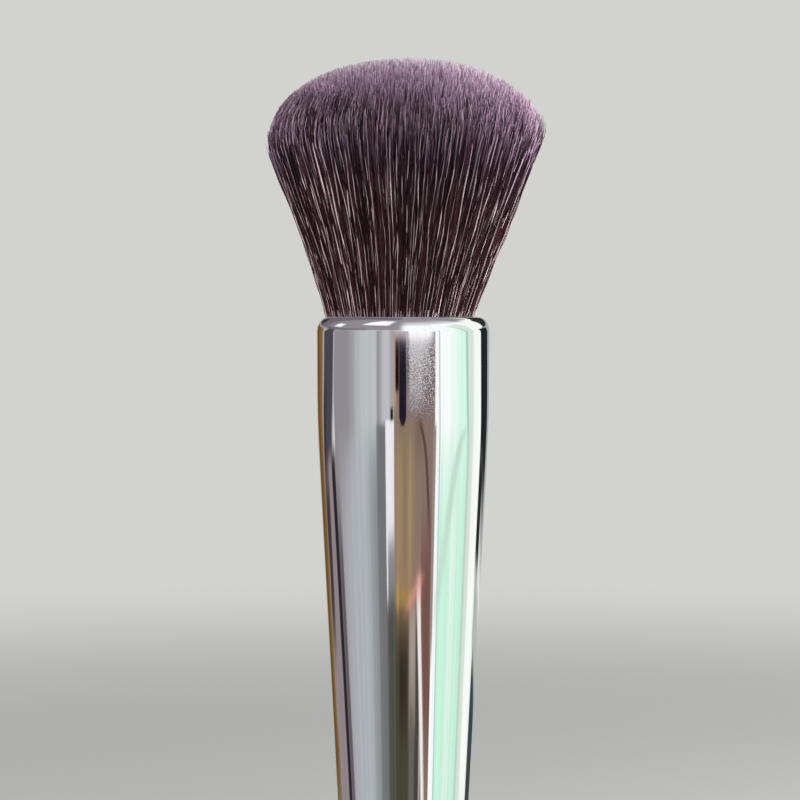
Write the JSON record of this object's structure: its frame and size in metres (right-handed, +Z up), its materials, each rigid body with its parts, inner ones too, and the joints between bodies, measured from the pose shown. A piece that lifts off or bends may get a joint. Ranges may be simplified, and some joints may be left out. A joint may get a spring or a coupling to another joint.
{
  "type": "makeup brush",
  "caption": "Complexion brush: a dense domed head of flared bristles in the rounded mouth of a bright plated handle that tapers to a flat foot.",
  "frame": {"origin": "middle of the flat foot of the end cap", "axes": "+Z up the handle's axis towards the bristles; +X is to the right and +Y away from the eye in the pictured view"},
  "size_m": [0.0382, 0.0383, 0.1638],
  "materials": {
    "plum_fibre": "fine crimped synthetic fibre, dark plum at the root, mauve and pale lilac at the tips",
    "amber_resin": "clear amber casting resin",
    "waxed_thread": "undyed waxed thread",
    "drawn_aluminium": "plain drawn sheet with fine draw lines",
    "bright_plating": "bright mirror plating on moulded plastic, with faint smudges",
    "white_plastic": "plain moulded plastic",
    "turned_steel": "turned steel with fine lathe rings"
  },
  "bodies": {
    "root": {"bristles": "plum_fibre", "root_block": "amber_resin", "binding_thread": "waxed_thread", "knot_cup": "drawn_aluminium", "handle_shell": "bright_plating", "spacer_sleeve": "white_plastic", "counterweight": "turned_steel", "end_cap": "bright_plating"}
  },
  "joints": []
}
